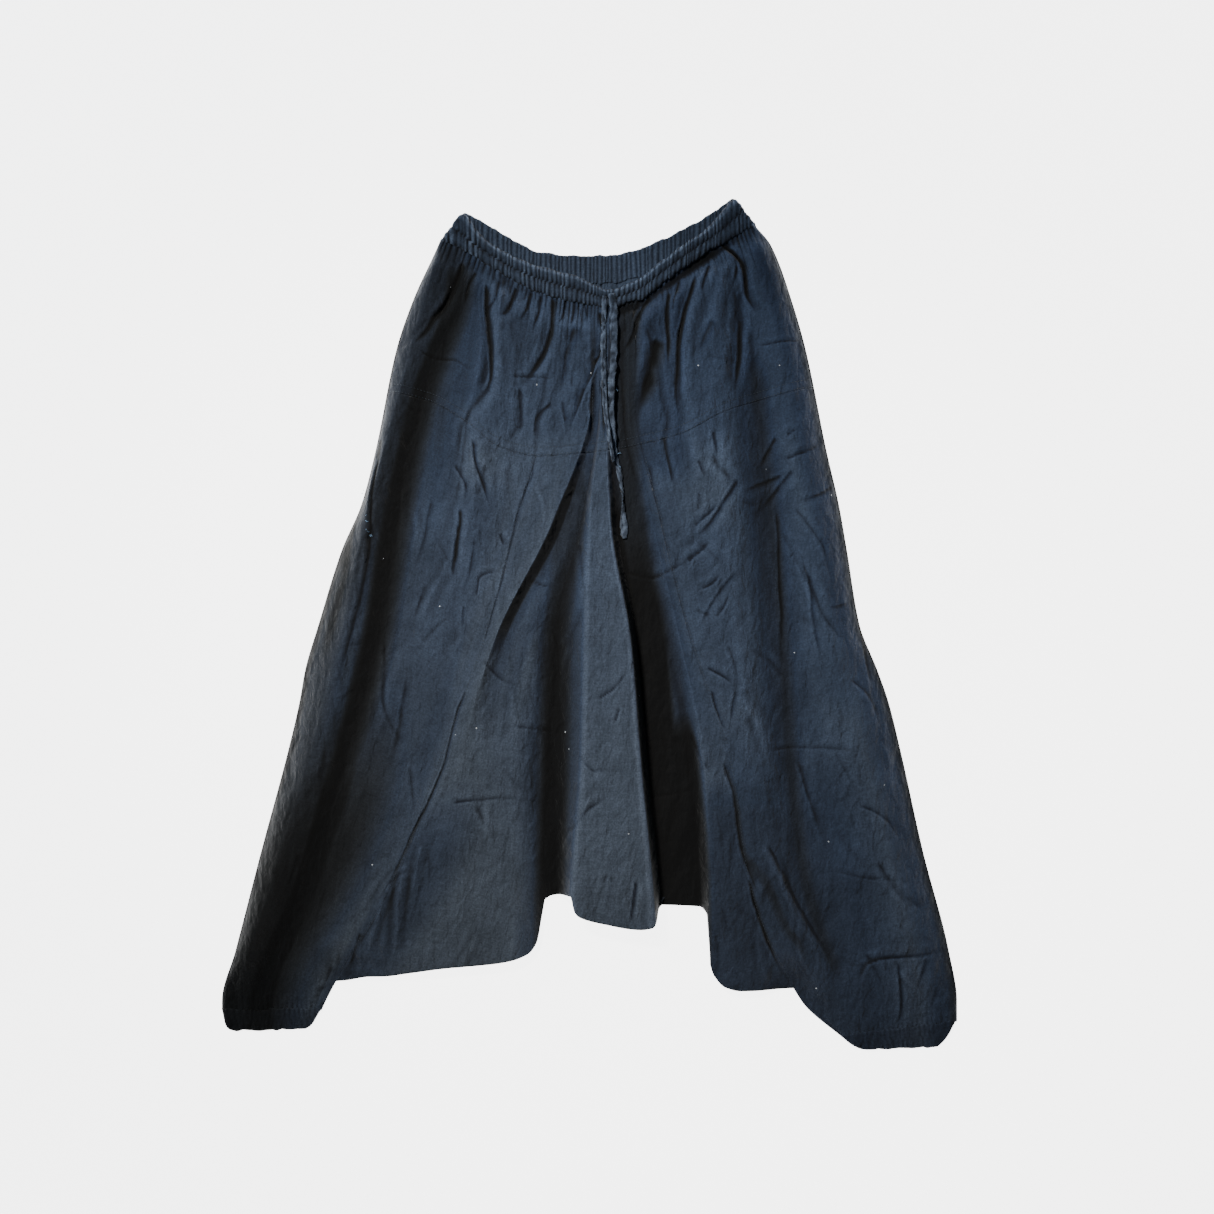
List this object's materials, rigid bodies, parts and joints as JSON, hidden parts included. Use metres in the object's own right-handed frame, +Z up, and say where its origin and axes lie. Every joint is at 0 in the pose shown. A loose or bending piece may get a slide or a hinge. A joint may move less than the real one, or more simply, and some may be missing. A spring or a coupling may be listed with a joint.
{
  "type": "harem pants",
  "caption": "Loose low-crotch trousers laid flat, with a gathered elastic waist, hip yoke, drawstring ends, wide gusset and gathered ankle cuffs.",
  "frame": {"origin": "middle of the laid garment's box in plan, on the surface that it lies on", "axes": "+Z up from the surface, +Y from the leg ends to the waist, +X to the right as seen from above"},
  "size_m": [0.8218, 0.9527, 0.0364],
  "materials": {
    "panel_cotton": "washed plain-weave cotton, matt",
    "band_cotton": "gathered plain-weave cotton over elastic, matt",
    "tie_cotton": "folded self-fabric tie, matt"
  },
  "bodies": {
    "root": {"waistband": "band_cotton", "front_yoke_left": "panel_cotton", "front_yoke_right": "panel_cotton", "back_yoke": "panel_cotton", "front_leg_left": "panel_cotton", "front_leg_right": "panel_cotton", "front_gusset": "panel_cotton", "back_leg_left": "panel_cotton", "back_leg_right": "panel_cotton", "back_gusset": "panel_cotton", "cuff_left": "band_cotton", "cuff_right": "band_cotton", "drawstring_long_end": "tie_cotton", "drawstring_short_end": "tie_cotton"}
  },
  "joints": []
}
